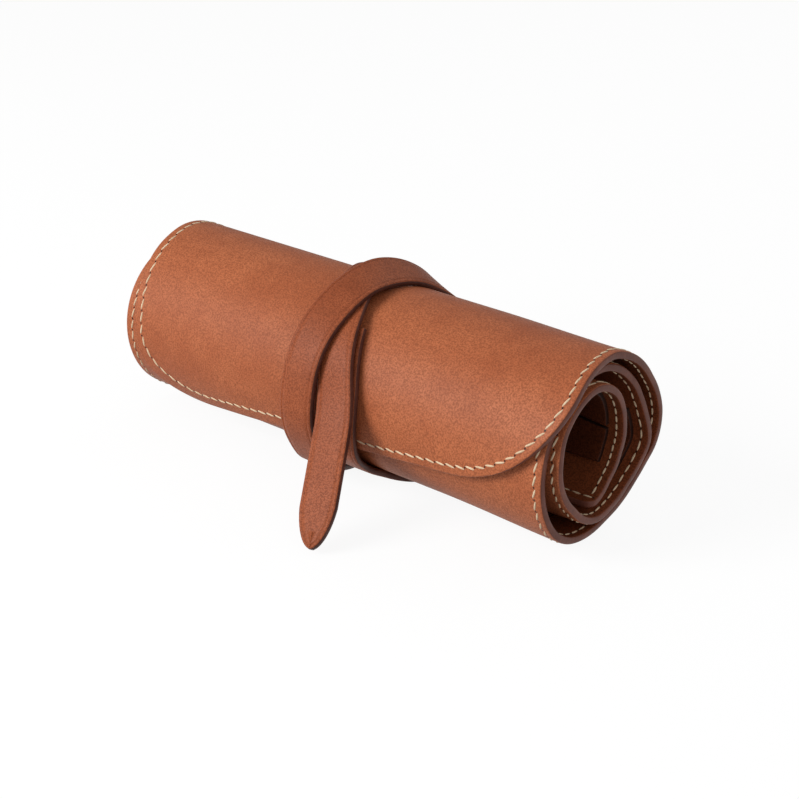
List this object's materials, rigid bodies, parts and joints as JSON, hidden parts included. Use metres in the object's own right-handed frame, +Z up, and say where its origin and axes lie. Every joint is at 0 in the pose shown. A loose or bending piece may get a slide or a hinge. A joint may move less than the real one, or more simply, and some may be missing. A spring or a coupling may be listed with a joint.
{
  "type": "watch roll",
  "caption": "Rolled leather watch roll: a lined, stitched sheet wound up with a rounded flap and tied by a wrap-around strap whose pointed tongue tucks under itself.",
  "frame": {"origin": "on the flat under the strap's second pass, where the roll rests, below the roll's axis", "axes": "+X along the roll to the end that shows its turns, +Y to the rear away from the flap, +Z up"},
  "size_m": [0.22, 0.1188, 0.0841],
  "materials": {
    "cover_leather": "satin",
    "lining_leather": "matte",
    "strap_leather": "satin",
    "thread": "matte"
  },
  "bodies": {
    "roll": {"cover": "cover_leather", "lining": "lining_leather", "core_rear_sleeve": "lining_leather", "core_shoulder_sleeve": "lining_leather", "core_crown_sleeve": "lining_leather", "middle_rear_sleeve": "lining_leather", "flap_thread": "thread", "left_side_thread": "thread", "right_side_thread": "thread", "strap": "strap_leather"},
    "tongue": {"strap_tongue": "strap_leather"},
    "tip": {"strap_tip": "strap_leather"}
  },
  "joints": [
    {"name": "tongue_lift", "type": "hinge", "parent": "roll", "child": "tongue", "pos_m": [0.02948, -0.04541, 0.04415], "axis": [-1, 0, 0], "range_deg": [0, 75]},
    {"name": "tip_lift", "type": "hinge", "parent": "tongue", "child": "tip", "pos_m": [0.02948, -0.06196, 0.02372], "axis": [-1, 0, 0], "range_deg": [0, 70]}
  ]
}
